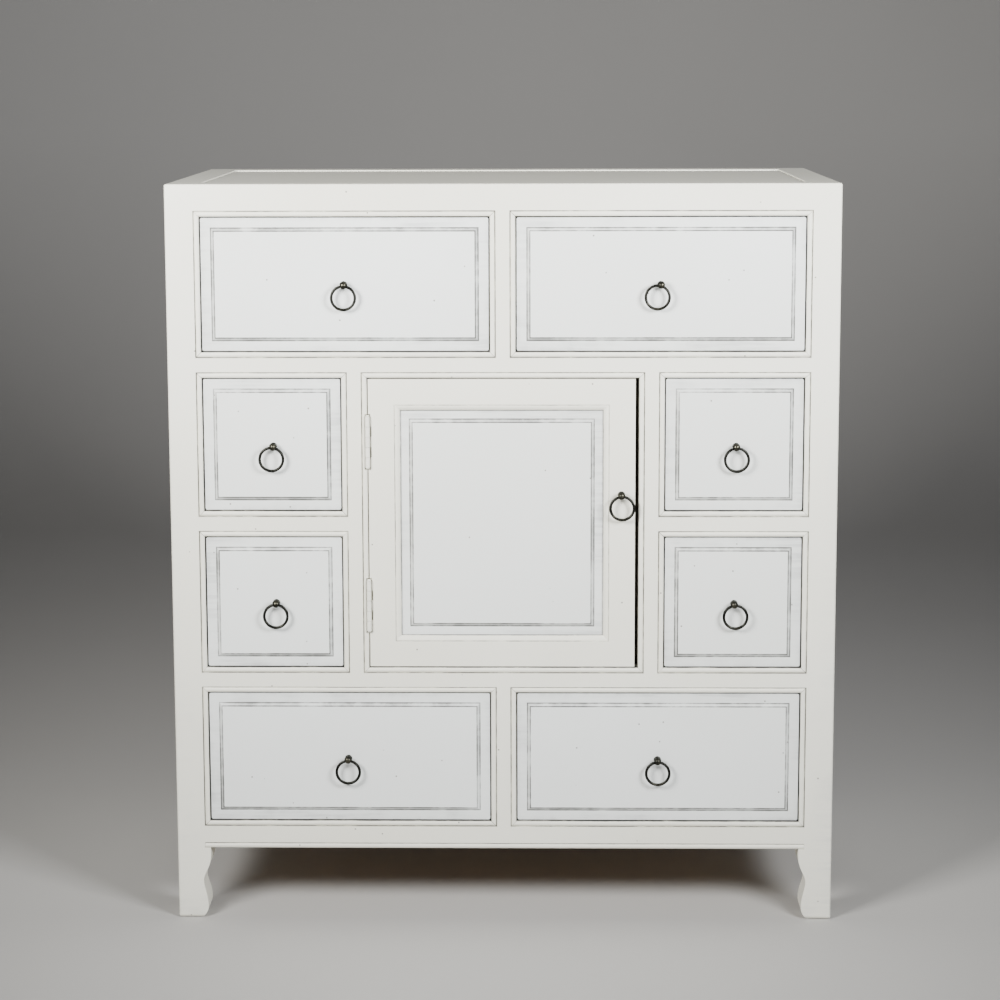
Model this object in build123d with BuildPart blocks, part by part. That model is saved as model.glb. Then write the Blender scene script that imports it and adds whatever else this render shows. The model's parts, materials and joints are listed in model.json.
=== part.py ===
from build123d import *
import os
from math import atan2, degrees

os.makedirs("parts", exist_ok=True)

# Driving dimensions, in millimetres.
# X runs along the front, Y from front to back and Z up. The floor is z = 0.
width = 800.0  # over the two front legs
depth = 400.0  # from the face of the frame to the back of the rear legs
foot_clearance = 89.0  # floor to the underside of the bottom rails
bottom_rail = 34.5
opening_height = 161.5  # every drawer opening, between its beads
rail = 31.0  # the rails between the rows of drawers
top_rail = 38.5  # also the width of the top frame's other members
leg = 40.5  # square section of each leg
post = 30.5  # the posts beside the door and the dividers in the middle
door_opening = 325.0
rail_thickness = 22.0  # rails, posts and dividers, front to back
lower_rail_thickness = 26.0
arris = 2.5  # rounding of the carcass's outer edges

bead = 7.0  # width of the bead that lines each opening, with its groove
bead_depth = 9.0
quirk = 1.0  # width of the groove beside the bead
quirk_depth = 1.5
mitre_gap = 0.1  # hairline between the ends of two mitred strips

board = 12.0  # dust boards, partitions, bottom board and shelf
panel = 10.0  # side and back panels
panel_tongue = 6.0  # how far a panel enters its grooves
side_recess = 5.0
back_recess = 7.0
top_panel_recess = 1.5
top_panel_thickness = 12.0

drawer_gap = 1.5  # between a drawer front and its bead
front_setback = 3.0  # margin of a drawer front, behind the face of the frame
front_thickness = 20.0
field_margin = 12.0  # flat margin round the raised field
field_bevel = 3.5
field_rise = 3.0
field_corner = 2.0
drawer_side = 10.0
drawer_side_height = 150.0
drawer_bottom = 6.0
drawer_length = 330.0
slide_gap = 0.4  # between a drawer side and the board that it slides on
stop_gap = 2.0  # between a shut drawer and its stop
guide_height = 18.0
stop_size = 20.0

door_setback = 1.0
door_thickness = 20.6
door_gap = 1.3  # above and below the door
door_hinge_gap = 1.2
door_lock_gap = 4.2  # on the side of the pull
door_flat = 31.0  # face of the door's frame
door_bead = 7.5
door_panel_depth = 6.0  # margin of the door's panel, behind the door's face
door_panel_edge = 8.0
door_groove = 6.5
door_field_margin = 10.5
door_pull_height = 528.8
door_pull_inset = 16.6  # from the edge of the door

hinge_from_end = 77.0  # ends of the door opening to the middle of each hinge
barrel_radius = 2.8
barrel_length = 62.0
knuckles = 5
leaf_thickness = 1.5
leaf_depth = 16.0
pin_radius = 1.2
pin_running_gap = 0.05
barrel_forward = 1.2  # hinge axis, in front of the face of the frame
barrel_clearance = 0.4
pocket_end_gap = 2.0  # above and below a barrel

eye_reach = 8.5  # face of the drawer to the centre of the pull's ball
eye_drop = 1.2  # centre of the ball down to the middle of its hole
ball_radius = 4.6
eye_hole_radius = 2.6
neck_radius = 2.5
flange_radius = 4.3
flange_thickness = 1.2
shank_radius = 2.0
shank_hole_gap = 0.1
shank_past_nut = 1.0
nut_across = 8.0
nut_thickness = 3.0
ring_radius = 14.0  # to the middle of the wire
wire_radius = 1.75

# The pulls were set by hand. Each one is a little off the middle of its front, across and up,
# and its hole is turned a few degrees, which carries the ring towards +X.
pull_settings = {
    "top_left": (-1.0, 0.0, -1.0),
    "top_right": (0.0, 0.0, -16.0),
    "upper_left": (1.5, -1.0, -7.0),
    "upper_right": (1.9, -1.5, 2.0),
    "lower_left": (2.4, 0.0, -1.0),
    "lower_right": (1.2, -0.5, 6.0),
    "bottom_left": (-1.6, -1.2, 0.0),
    "bottom_right": (-0.7, -2.2, 1.0),
}
door_pull_turn = 3.0

# Sizes worked out from these.
pull_reach = eye_reach + ball_radius
front = -(depth - pull_reach) / 2  # face of the frame, so that y = 0 halves the whole depth
rows = {"bottom": foot_clearance + bottom_rail}
rows["lower"] = rows["bottom"] + opening_height + rail
rows["upper"] = rows["lower"] + opening_height + rail
rows["top"] = rows["upper"] + opening_height + rail
height = rows["top"] + opening_height + top_rail
half = width / 2
inner = half - leg  # inner face of a leg
door_half = door_opening / 2
post_outer = door_half + post
post_middle = door_half + post / 2
side_panel_face = half - side_recess - panel  # inner face of a side panel
back_panel_face = depth - back_recess - panel
frame_flat = leg - bead  # width of the leg's flat, outside its bead
top_flat = top_rail - bead


def slab(x, y, z, mode=Mode.ADD):
    """A rectangular block from three (low, high) pairs. y counts back from the face of the frame."""
    with Locations(((x[0] + x[1]) / 2, front + (y[0] + y[1]) / 2, (z[0] + z[1]) / 2)):
        Box(x[1] - x[0], y[1] - y[0], z[1] - z[0], mode=mode)


def sided(sign, near, far):
    """The (low, high) pair of a stretch from near to far of the middle, on the side that sign gives."""
    return tuple(sorted((sign * near, sign * far)))


def write(name, *pieces):
    """Label one node and write it; several pieces stay separate solids."""
    node = pieces[0] if len(pieces) == 1 else Compound([s for p in pieces for s in p.solids()])
    node.label = name
    export_step(node, f"parts/{name}.step")


# The carcass's outer form. It rounds the outer edges of the legs and the top frame.
with BuildPart() as outer_form:
    slab((-half, half), (0, depth), (0, height))
    uprights = outer_form.edges().filter_by(Axis.Z)
    fillet([*uprights, *outer_form.faces().sort_by(Axis.Z)[-1].edges()], arris)

# Panels let into grooves. Each one, grown by its tongue, also cuts its own grooves.
with BuildPart() as side_panel:
    for sign in (-1, 1):
        slab(
            sided(sign, side_panel_face, side_panel_face + panel),
            (leg - panel_tongue, depth - leg + panel_tongue),
            (rows["bottom"] - panel_tongue, height - top_rail + panel_tongue),
        )
with BuildPart() as back_panel:
    slab(
        (-inner - panel_tongue, inner + panel_tongue),
        (back_panel_face, back_panel_face + panel),
        (rows["bottom"] - panel_tongue, height - top_rail + panel_tongue),
    )
with BuildPart() as top_panel_tongue:
    slab(
        (-half + top_rail - panel_tongue, half - top_rail + panel_tongue),
        (top_rail - panel_tongue, depth - top_rail + panel_tongue),
        (
            height - top_panel_recess - top_panel_thickness,
            height - top_panel_recess - top_panel_thickness / 2,
        ),
    )
with BuildPart() as top_panel:
    slab(
        (-half + top_rail, half - top_rail),
        (top_rail, depth - top_rail),
        (height - top_panel_recess - top_panel_thickness, height - top_panel_recess),
    )
    add(top_panel_tongue.part)
write("side_panels", side_panel.part)
write("back_panel", back_panel.part)
write("top_panel", top_panel.part)

# Outline of a leg and its foot, drawn from the outer edge inwards.
foot_corner = 5.0
foot_flat = 27.5  # outer edge to the inner end of the flat sole
foot_toe = (36.5, 15.0)  # widest place of the toe, inwards and up
foot_waist = (31.5, 50.0)  # narrowest place above the toe
foot_shoulder = 80.0  # height where the leg is full width again


def leg_outline(edge, inward):
    """Close a leg's outline in the open sketch: its outer edge at edge, and inwards along inward."""

    def at(across, up):
        return (edge + inward * across, up)

    with BuildLine() as outline:
        Line(at(foot_flat, 0), at(foot_corner, 0))
        TangentArc(at(foot_corner, 0), at(0, foot_corner), tangent=(-inward, 0))
        Polyline(at(0, foot_corner), at(0, height), at(leg, height), at(leg, foot_shoulder))
        Spline(
            at(leg, foot_shoulder), at(*foot_waist), at(*foot_toe), tangents=((0, -1), (0, -1))
        )
        TangentArc(at(*foot_toe), at(foot_flat, 0), tangent=(0, -1))
    make_face(outline.edges())


def leg_mitre(edge, inward):
    """The triangle above a leg's mitre, which the top frame's rail fills."""
    drop = leg * top_flat / frame_flat
    Polygon(
        (edge, height), (edge + inward * leg, height), (edge + inward * leg, height - drop), align=None
    )


def corner_leg(sign, at_front):
    """One leg, with a foot carved on both inner faces and a three-way mitre at its top."""
    outer_y = front if at_front else front + depth
    inward_y = 1 if at_front else -1
    with BuildPart() as piece:
        with BuildSketch(Plane.XZ.offset(-outer_y)):
            leg_outline(sign * half, -sign)
        extrude(amount=-inward_y * leg)
        with BuildSketch(Plane.YZ):
            leg_outline(outer_y, inward_y)
        extrude(amount=sign * half, mode=Mode.INTERSECT)
        with BuildSketch(Plane.XZ.offset(-outer_y)):
            leg_mitre(sign * half, -sign)
        extrude(amount=-inward_y * leg, mode=Mode.SUBTRACT)
        with BuildSketch(Plane.YZ):
            leg_mitre(outer_y, inward_y)
        extrude(amount=sign * half, mode=Mode.SUBTRACT)
        if at_front:
            slab(
                sided(sign, inner, inner + bead),
                (0, bead_depth),
                (foot_clearance, height - top_flat),
                mode=Mode.SUBTRACT,
            )
        add(side_panel.part, mode=Mode.SUBTRACT)
        add(back_panel.part, mode=Mode.SUBTRACT)
        add(outer_form.part, mode=Mode.INTERSECT)
    return piece.part


for end, at_front in (("front", True), ("rear", False)):
    for side, sign in (("left", -1), ("right", 1)):
        write(f"{end}_{side}_leg", corner_leg(sign, at_front))

# Top frame: four members, mitred on the top and against the legs.
rise = top_rail * frame_flat / top_flat  # length of the mitre against a leg


def long_top_member(near, far):
    """Front or rear member of the top frame, between two distances behind the face."""
    outer_y = near if near == 0 else far
    inner_y = far if near == 0 else near
    with BuildPart() as member:
        slab((-half, half), (near, far), (height - top_rail, height))
        for sign in (-1, 1):
            end = sign * half
            with BuildSketch(Plane.XZ.offset(-front)):
                Polygon(
                    (end, height),
                    (end, height - top_rail),
                    (end - sign * rise, height - top_rail),
                    align=None,
                )
            extrude(amount=-depth, mode=Mode.SUBTRACT)
            with BuildSketch(Plane.XY.offset(height - top_rail)):
                Polygon(
                    (end, front + outer_y),
                    (end, front + inner_y),
                    (end - sign * top_rail, front + inner_y),
                    align=None,
                )
            extrude(amount=top_rail, mode=Mode.SUBTRACT)
        if near == 0:
            slab(
                (-inner - bead, inner + bead),
                (0, bead_depth),
                (height - top_rail, height - top_flat),
                mode=Mode.SUBTRACT,
            )
        add(back_panel.part, mode=Mode.SUBTRACT)
        add(top_panel_tongue.part, mode=Mode.SUBTRACT)
        add(outer_form.part, mode=Mode.INTERSECT)
    return member.part


def side_top_member(sign):
    """Left or right member of the top frame."""
    outer_x = sign * half
    inner_x = sign * (half - top_rail)
    with BuildPart() as member:
        slab(sided(sign, half - top_rail, half), (0, depth), (height - top_rail, height))
        for end, inward in ((front, 1), (front + depth, -1)):
            with BuildSketch(Plane.YZ):
                Polygon(
                    (end, height),
                    (end, height - top_rail),
                    (end + inward * rise, height - top_rail),
                    align=None,
                )
            extrude(amount=sign * half, mode=Mode.SUBTRACT)
            with BuildSketch(Plane.XY.offset(height - top_rail)):
                Polygon(
                    (outer_x, end), (inner_x, end), (inner_x, end + inward * top_rail), align=None
                )
            extrude(amount=top_rail, mode=Mode.SUBTRACT)
        add(side_panel.part, mode=Mode.SUBTRACT)
        add(top_panel_tongue.part, mode=Mode.SUBTRACT)
        add(outer_form.part, mode=Mode.INTERSECT)
    return member.part


write(
    "top_frame",
    long_top_member(0, top_rail),
    long_top_member(depth - top_rail, depth),
    side_top_member(-1),
    side_top_member(1),
)

# Rails under the side panels and the back panel.
lower_rails = []
for sign in (-1, 1):
    with BuildPart() as side_rail:
        slab(
            sided(sign, half - lower_rail_thickness, half),
            (leg, depth - leg),
            (foot_clearance, rows["bottom"]),
        )
        add(side_panel.part, mode=Mode.SUBTRACT)
    lower_rails.append(side_rail.part)
with BuildPart() as rear_rail:
    slab(
        (-inner, inner),
        (depth - lower_rail_thickness, depth),
        (foot_clearance, rows["bottom"]),
    )
    add(back_panel.part, mode=Mode.SUBTRACT)
write("lower_rails", *lower_rails, rear_rail.part)

# Where the two hinges sit, and the pockets that hold them.
hinge_heights = (
    rows["lower"] + hinge_from_end,
    rows["top"] - rail - hinge_from_end,
)
hinge_x = -door_half + door_hinge_gap / 2
frame_leaf_x = (-door_half - leaf_thickness, -door_half)
door_leaf_x = (-door_half + door_hinge_gap, -door_half + door_hinge_gap + leaf_thickness)


def cut_hinge_pockets(leaf_x):
    """Cut the open part for both barrels and for the leaves between leaf_x."""
    pocket = barrel_radius + barrel_clearance
    for z in hinge_heights:
        slab(
            (hinge_x - pocket, hinge_x + pocket),
            (-barrel_forward - pocket, pocket - barrel_forward),
            (z - barrel_length / 2 - pocket_end_gap, z + barrel_length / 2 + pocket_end_gap),
            mode=Mode.SUBTRACT,
        )
        slab(
            leaf_x,
            (-barrel_forward, leaf_depth),
            (z - barrel_length / 2, z + barrel_length / 2),
            mode=Mode.SUBTRACT,
        )


def face_member(x, z, flat_x, flat_z, hinged=False):
    """A rail or post of the face frame. Its narrow front band fills the space between the beads."""
    with BuildPart() as member:
        slab(flat_x, (0, bead_depth), flat_z)
        slab(x, (bead_depth, rail_thickness), z)
        if hinged:
            cut_hinge_pockets(frame_leaf_x)
    return member.part


flat_reach = inner + bead
long_rails = [
    face_member(
        (-inner, inner),
        (low, low + tall),
        (-flat_reach, flat_reach),
        (low + bead, low + tall - bead),
    )
    for low, tall in (
        (foot_clearance, bottom_rail),
        (rows["lower"] - rail, rail),
        (rows["top"] - rail, rail),
    )
]
short_rails = [
    face_member(
        sided(sign, post_outer, inner),
        (rows["upper"] - rail, rows["upper"]),
        sided(sign, post_outer - bead, flat_reach),
        (rows["upper"] - rail + bead, rows["upper"] - bead),
    )
    for sign in (-1, 1)
]
write("front_rails", *long_rails, *short_rails)

post_span = (rows["lower"], rows["top"] - rail)
door_posts = [
    face_member(
        sided(sign, door_half, post_outer),
        post_span,
        sided(sign, door_half + bead, post_outer - bead),
        (post_span[0] - bead, post_span[1] + bead),
        hinged=sign < 0,
    )
    for sign in (-1, 1)
]
write("door_posts", *door_posts)

centre_dividers = [
    face_member(
        (-post / 2, post / 2),
        (rows[row], rows[row] + opening_height),
        (-post / 2 + bead, post / 2 - bead),
        (rows[row] - bead, rows[row] + opening_height + bead),
    )
    for row in ("bottom", "top")
]
write("centre_dividers", *centre_dividers)


def mitred_strip(length, across, thickness, section):
    """A strip along X with mitred ends. Its inner edge is on z = 0 and its face on y = 0."""
    short = length / 2 - mitre_gap
    with BuildPart() as strip:
        with BuildSketch(Plane.XZ):
            Polygon(
                (-short, 0), (short, 0), (short + across, -across), (-short - across, -across),
                align=None,
            )
        extrude(amount=-thickness)
        with BuildSketch(Plane.YZ):
            section()
        extrude(amount=length / 2 + across, both=True, mode=Mode.INTERSECT)
    return strip.part


def mitred_frame(x, z, setback, across, thickness, section):
    """Four mitred strips round the opening between x and z: bottom, left, top and right."""
    middle_x = (x[0] + x[1]) / 2
    middle_z = (z[0] + z[1]) / 2
    level = mitred_strip(x[1] - x[0], across, thickness, section)
    upright = mitred_strip(z[1] - z[0], across, thickness, section)
    y = front + setback
    return [
        level.moved(Location((middle_x, y, z[0]))),
        upright.moved(Location((x[0], y, middle_z), (0, 90, 0))),
        level.moved(Location((middle_x, y, z[1]), (0, 180, 0))),
        upright.moved(Location((x[1], y, middle_z), (0, -90, 0))),
    ]


def bead_section():
    """Section of a bead: a groove beside the flat, then a round that falls to the opening."""
    edge_depth = 1.8
    with BuildLine() as outline:
        ThreePointArc(
            (quirk_depth, quirk - bead), (0, (quirk - bead) / 2), (edge_depth, 0)
        )
        Polyline(
            (edge_depth, 0),
            (bead_depth, 0),
            (bead_depth, -bead),
            (quirk_depth, -bead),
            (quirk_depth, quirk - bead),
        )
    make_face(outline.edges())


# Openings of the face frame, as (low, high) pairs along X and Z.
drawer_openings = {}
for side, sign in (("left", -1), ("right", 1)):
    for row in ("top", "upper", "lower", "bottom"):
        near = post / 2 if row in ("top", "bottom") else post_outer
        drawer_openings[f"{row}_{side}_drawer"] = (
            sided(sign, near, inner),
            (rows[row], rows[row] + opening_height),
        )
door_span = ((-door_half, door_half), post_span)

opening_beads = []
for x, z in drawer_openings.values():
    opening_beads += mitred_frame(x, z, 0, bead, bead_depth, bead_section)
door_beads = mitred_frame(*door_span, 0, bead, bead_depth, bead_section)
with BuildPart() as hinged_bead:
    add(door_beads[1])
    cut_hinge_pockets(frame_leaf_x)
door_beads[1] = hinged_bead.part
apron_bead = mitred_strip(2 * inner, bead, bead_depth, bead_section).moved(
    Location((0, front, foot_clearance), (0, 180, 0))
)
write("opening_beads", *opening_beads, *door_beads, apron_bead)

# Boards that divide the inside.
back_face = (rail_thickness, back_panel_face)


def inner_board(x, z, y=back_face):
    """A board of the inside, notched round the legs."""
    with BuildPart() as piece:
        slab(x, y, z)
        for sign in (-1, 1):
            for y_leg in ((0, leg), (depth - leg, depth)):
                slab(sided(sign, inner, half), y_leg, z, mode=Mode.SUBTRACT)
    return piece.part


write(
    "bottom_board",
    inner_board(
        (-half + lower_rail_thickness, half - lower_rail_thickness),
        (rows["bottom"] - board, rows["bottom"]),
        (rail_thickness, depth - lower_rail_thickness),
    ),
)
partition_x = (post_middle - board / 2, post_middle + board / 2)
dust_boards = [
    inner_board((-side_panel_face, side_panel_face), (rows[row] - board, rows[row]))
    for row in ("lower", "top")
]
dust_boards += [
    inner_board(
        sided(sign, partition_x[1], side_panel_face), (rows["upper"] - board, rows["upper"])
    )
    for sign in (-1, 1)
]
write("dust_boards", *dust_boards)

top_inside = height - top_panel_recess - top_panel_thickness
partitions = [
    inner_board(sided(sign, *partition_x), (rows["lower"], rows["top"] - board))
    for sign in (-1, 1)
]
partitions.append(inner_board((-board / 2, board / 2), (rows["bottom"], rows["lower"] - board)))
partitions.append(
    inner_board(
        (-board / 2, board / 2), (rows["top"], top_inside), (top_rail, depth - top_rail)
    )
)
write("partitions", *partitions)

# Strips that guide the drawer sides, and a block that stops each drawer when it is shut.
drawer_back = front_setback + front_thickness + drawer_length
guides = []
for name, (x, z) in drawer_openings.items():
    sign = 1 if x[0] > 0 else -1
    wide = name.startswith(("top", "bottom"))
    near_x = (board / 2, post / 2) if wide else (partition_x[1], post_outer)
    for across, y in (
        (near_x, (top_rail, depth - top_rail)),
        ((inner, side_panel_face), (leg, depth - leg)),
    ):
        with BuildPart() as guide:
            slab(sided(sign, *across), y, (z[0], z[0] + guide_height))
        guides.append(guide.part)
    middle_x = (x[0] + x[1]) / 2
    with BuildPart() as drawer_stop:
        slab(
            (middle_x - stop_size, middle_x + stop_size),
            (drawer_back + stop_gap, drawer_back + stop_gap + board),
            (z[0], z[0] + stop_size),
        )
    guides.append(drawer_stop.part)
write("drawer_guides", *guides)

# Inside the door: stops, a shelf on two battens and a magnetic catch.
door_stop_lap = 10.0
stops = []
for sign in (-1, 1):
    with BuildPart() as door_stop:
        slab(
            sided(sign, door_half - door_stop_lap, partition_x[0]),
            (rail_thickness, rail_thickness + board),
            (rows["lower"], rows["top"] - board),
        )
    stops.append(door_stop.part)
write("door_stops", *stops)

shelf_top = (rows["lower"] + rows["top"] - rail) / 2
with BuildPart() as shelf:
    slab(
        (-partition_x[0], partition_x[0]),
        (rail_thickness + 2 * board, back_panel_face),
        (shelf_top - board, shelf_top),
    )
battens = []
for sign in (-1, 1):
    with BuildPart() as batten:
        slab(
            sided(sign, partition_x[0] - board, partition_x[0]),
            (rail_thickness + 2 * board, back_panel_face - board),
            (shelf_top - board - guide_height, shelf_top - board),
        )
    battens.append(batten.part)
write("door_shelf", shelf.part, *battens)

catch_x = (105.0, 140.0)
catch_height = 34.0
catch_plate_thickness = 1.2
door_rear = door_setback + door_thickness
with BuildPart() as door_catch:
    slab(
        catch_x,
        (door_rear + slide_gap, door_rear + slide_gap + board),
        (rows["top"] - board - catch_height, rows["top"] - board),
    )
write("door_catch", door_catch.part)
with BuildPart() as catch_plate:
    slab(
        catch_x,
        (door_rear - catch_plate_thickness, door_rear),
        (rows["top"] - rail - board - door_gap, rows["top"] - rail - 2 * door_gap),
    )
write("catch_plate", catch_plate.part)


# Pulls: a ball with a cross hole on a threaded shank, its nut, and a ring through the hole.
def pull_eye(at, turn, thickness):
    """The ball, neck, flange and shank of one pull, and the nut behind a front of this thickness."""
    neck_end = -eye_reach + (ball_radius**2 - neck_radius**2) ** 0.5
    end = thickness + nut_thickness + shank_past_nut
    with BuildPart() as eye:
        with BuildSketch(Plane.XY):
            with BuildLine():
                Polyline(
                    (0, -pull_reach),
                    (0, end),
                    (shank_radius, end),
                    (shank_radius, 0),
                    (flange_radius, 0),
                    (flange_radius, -flange_thickness / 2),
                    (neck_radius, -flange_thickness),
                    (neck_radius, neck_end),
                )
                ThreePointArc(
                    (neck_radius, neck_end), (ball_radius, -eye_reach), (0, -pull_reach)
                )
            make_face()
        revolve(axis=Axis.Y)
        with Locations((0, -eye_reach, -eye_drop)):
            Cylinder(eye_hole_radius, 4 * ball_radius, rotation=(0, 90, 0), mode=Mode.SUBTRACT)
    with BuildPart() as nut:
        with BuildSketch(Plane.XZ.offset(-thickness)):
            RegularPolygon(nut_across / 2, 6, major_radius=False)
            Circle(shank_radius, mode=Mode.SUBTRACT)
        extrude(amount=-nut_thickness)
    return [piece.part.moved(Location(at, (0, -turn, 0))) for piece in (eye, nut)]


def pull_ring(at, turn):
    """A ring that hangs from the hole of the ball."""
    with BuildPart() as ring:
        with Locations((0, -eye_reach, -eye_drop - ring_radius)):
            Torus(ring_radius, wire_radius, rotation=(90, 0, 0))
    return ring.part.moved(Location(at, (0, -turn, 0)))


def drill_for_shank(at, thickness):
    """Drill the open part for a pull's shank."""
    with Locations((at[0], at[1] + thickness / 2, at[2])):
        Cylinder(
            shank_radius + shank_hole_gap, 2 * thickness, rotation=(90, 0, 0), mode=Mode.SUBTRACT
        )


def raised_field(x, z, y, margin):
    """Raise a bevelled field on a front or panel whose margin's face is at y."""
    with BuildSketch(Plane.XZ.offset(-front - y)) as field:
        with Locations(((x[0] + x[1]) / 2, (z[0] + z[1]) / 2)):
            Rectangle(x[1] - x[0] - 2 * margin, z[1] - z[0] - 2 * margin)
        fillet(field.vertices(), field_corner + field_bevel)
    extrude(field.sketch, amount=field_rise, taper=degrees(atan2(field_bevel, field_rise)))


# Drawers.
front_back = front_setback + front_thickness
for name, (x, z) in drawer_openings.items():
    across, up, turn = pull_settings[name.removesuffix("_drawer")]
    x = (x[0] + drawer_gap, x[1] - drawer_gap)
    front_z = (z[0] + drawer_gap, z[1] - drawer_gap)
    pull_at = (
        (x[0] + x[1]) / 2 + across, front + front_setback - field_rise, (z[0] + z[1]) / 2 + up
    )
    with BuildPart() as drawer_front:
        slab(x, (front_setback, front_back), front_z)
        raised_field(x, front_z, front_setback, field_margin)
        drill_for_shank(pull_at, front_back)
    write(f"{name}_front", drawer_front.part)

    low = z[0] + slide_gap
    floor_z = (low + drawer_bottom, low + 2 * drawer_bottom)
    groove = drawer_side / 2
    with BuildPart() as floor_board:
        slab((x[0] + groove, x[1] - groove), (front_back, drawer_back), floor_z)
    sides = []
    for side_x in ((x[0], x[0] + drawer_side), (x[1] - drawer_side, x[1])):
        with BuildPart() as side_board:
            slab(side_x, (front_back, drawer_back), (low, low + drawer_side_height))
            add(floor_board.part, mode=Mode.SUBTRACT)
        sides.append(side_board.part)
    with BuildPart() as back_board:
        slab(
            (x[0] + drawer_side, x[1] - drawer_side),
            (drawer_back - drawer_side, drawer_back),
            (floor_z[1], low + drawer_side_height),
        )
    write(f"{name}_box", *sides, back_board.part, floor_board.part)

    write(f"{name}_pull", *pull_eye(pull_at, turn, front_back))
    write(f"{name}_ring", pull_ring(pull_at, turn))

# Door: a mitred frame with a moulded inner edge, and a panel in its groove.
door_x = (-door_half + door_hinge_gap, door_half - door_lock_gap)
door_z = (post_span[0] + door_gap, post_span[1] - door_gap)
door_member = door_flat + door_bead


def door_section():
    """Section of the door's frame: a flat, a small groove, a falling bead and the panel's groove."""
    bead_start = 1.0
    bead_middle = 1.7
    bead_fall = 4.6
    groove_end = door_panel_depth + door_panel_edge
    with BuildLine() as outline:
        Polyline(
            (0, -door_member),
            (0, -door_bead),
            (bead_start, quirk - door_bead),
        )
        ThreePointArc(
            (bead_start, quirk - door_bead), (bead_middle, -door_bead / 2), (bead_fall, 0)
        )
        Polyline(
            (bead_fall, 0),
            (door_panel_depth, 0),
            (door_panel_depth, -door_groove),
            (groove_end, -door_groove),
            (groove_end, 0),
            (door_thickness, 0),
            (door_thickness, -door_member),
            (0, -door_member),
        )
    make_face(outline.edges())


panel_x = (door_x[0] + door_member, door_x[1] - door_member)
panel_z = (door_z[0] + door_member, door_z[1] - door_member)
door_members = mitred_frame(
    panel_x, panel_z, door_setback, door_member, door_thickness, door_section
)
door_pull_at = (door_x[1] - door_pull_inset, front + door_setback, door_pull_height)
with BuildPart() as hinge_stile:
    add(door_members[1])
    cut_hinge_pockets(door_leaf_x)
with BuildPart() as lock_stile:
    add(door_members[3])
    drill_for_shank(door_pull_at, door_thickness)
with BuildPart() as door_top:
    add(door_members[2])
    add(catch_plate.part, mode=Mode.SUBTRACT)
write("door_frame", door_members[0], hinge_stile.part, door_top.part, lock_stile.part)

with BuildPart() as door_panel:
    slab(
        (panel_x[0] - door_groove, panel_x[1] + door_groove),
        (
            door_setback + door_panel_depth,
            door_setback + door_panel_depth + door_panel_edge,
        ),
        (panel_z[0] - door_groove, panel_z[1] + door_groove),
    )
    raised_field(panel_x, panel_z, door_setback + door_panel_depth, door_field_margin)
write("door_panel", door_panel.part)
write("door_pull", *pull_eye(door_pull_at, door_pull_turn, door_thickness))
write("door_ring", pull_ring(door_pull_at, door_pull_turn))

# Hinges: five knuckles on one pin. The door's leaf has the outer and middle knuckles.
knuckle = barrel_length / knuckles
knuckle_gap = 0.3
door_knuckles = (0, 2, 4)
frame_knuckles = (1, 3)


def hinge_leaf(z, leaf_x, own, other, bore):
    """One leaf of the hinge at height z, with its own knuckles and clearance for the other's."""
    low = z - barrel_length / 2
    with BuildPart() as leaf:
        slab(leaf_x, (-barrel_forward, leaf_depth), (low, low + barrel_length))
        for places, radius, tall, mode in (
            (other, barrel_radius + barrel_clearance, knuckle + knuckle_gap, Mode.SUBTRACT),
            (own, barrel_radius, knuckle - knuckle_gap, Mode.ADD),
        ):
            for place in places:
                with Locations((hinge_x, front - barrel_forward, low + (place + 0.5) * knuckle)):
                    Cylinder(radius, tall, mode=mode)
        with Locations((hinge_x, front - barrel_forward, z)):
            Cylinder(bore, 2 * barrel_length, mode=Mode.SUBTRACT)
    return leaf.part


pin_head_radius = 2.2
pin_head_height = 1.6
door_leaves = []
frame_leaves = []
pins = []
for z in hinge_heights:
    door_leaves.append(
        hinge_leaf(z, door_leaf_x, door_knuckles, frame_knuckles, pin_radius + pin_running_gap)
    )
    frame_leaves.append(hinge_leaf(z, frame_leaf_x, frame_knuckles, door_knuckles, pin_radius))
    with BuildPart() as pin:
        with Locations((hinge_x, front - barrel_forward, z)):
            Cylinder(pin_radius, barrel_length + 2 * knuckle_gap)
        for end in (-1, 1):
            head_z = z + end * (barrel_length / 2 + knuckle_gap + pin_head_height / 2)
            with Locations((hinge_x, front - barrel_forward, head_z)):
                Cylinder(pin_head_radius, pin_head_height)
    pins.append(pin.part)
write("door_hinge_leaves", *door_leaves)
write("frame_hinge_leaves", *frame_leaves)
write("hinge_pins", *pins)
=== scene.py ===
import json
from math import atan2, cos, degrees, pi, radians, sin, sqrt

import bmesh
import bpy
from bpy.props import FloatProperty, FloatVectorProperty, IntProperty, PointerProperty
from mathutils import Matrix, Vector, noise


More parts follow.
